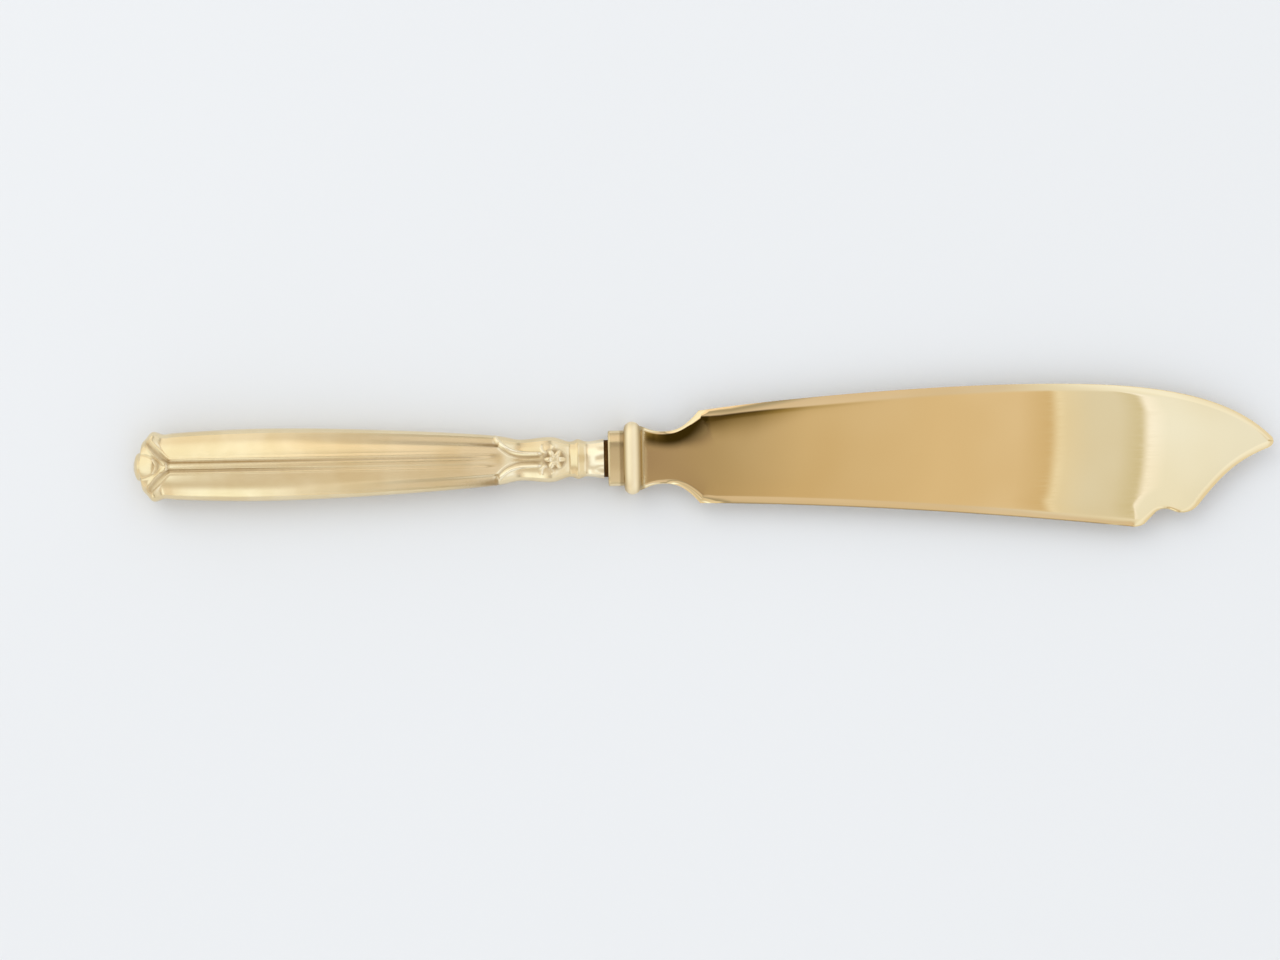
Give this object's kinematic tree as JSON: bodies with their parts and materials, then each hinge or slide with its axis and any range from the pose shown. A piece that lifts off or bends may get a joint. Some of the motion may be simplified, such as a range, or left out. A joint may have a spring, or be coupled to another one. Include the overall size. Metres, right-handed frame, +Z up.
{
  "type": "cake knife",
  "caption": "Gilt cake knife: broad flat blade with a notched, swept tip, round bolster bead, and a hollow handle of soldered half shells with reeded relief.",
  "frame": {"origin": "on the table, under the middle of the knife's box as it lies on its side", "axes": "+X from the butt of the handle to the tip of the blade, +Y from the cutting edge to the spine, +Z up through the face of the blade"},
  "size_m": [0.2698, 0.0342, 0.0114],
  "materials": {
    "gilt_blade": "forged steel, gold plated and mirror polished",
    "gilt_handle": "struck silver sheet, gilt, polished with darker recesses",
    "seam_solder": "hard solder, filed flush and gilt with the shells",
    "handle_cement": "dark resin cement, matt"
  },
  "bodies": {
    "root": {"blade": "gilt_blade", "handle_front_shell": "gilt_handle", "handle_back_shell": "gilt_handle", "handle_seam_solder": "seam_solder", "handle_filling": "handle_cement"}
  },
  "joints": []
}
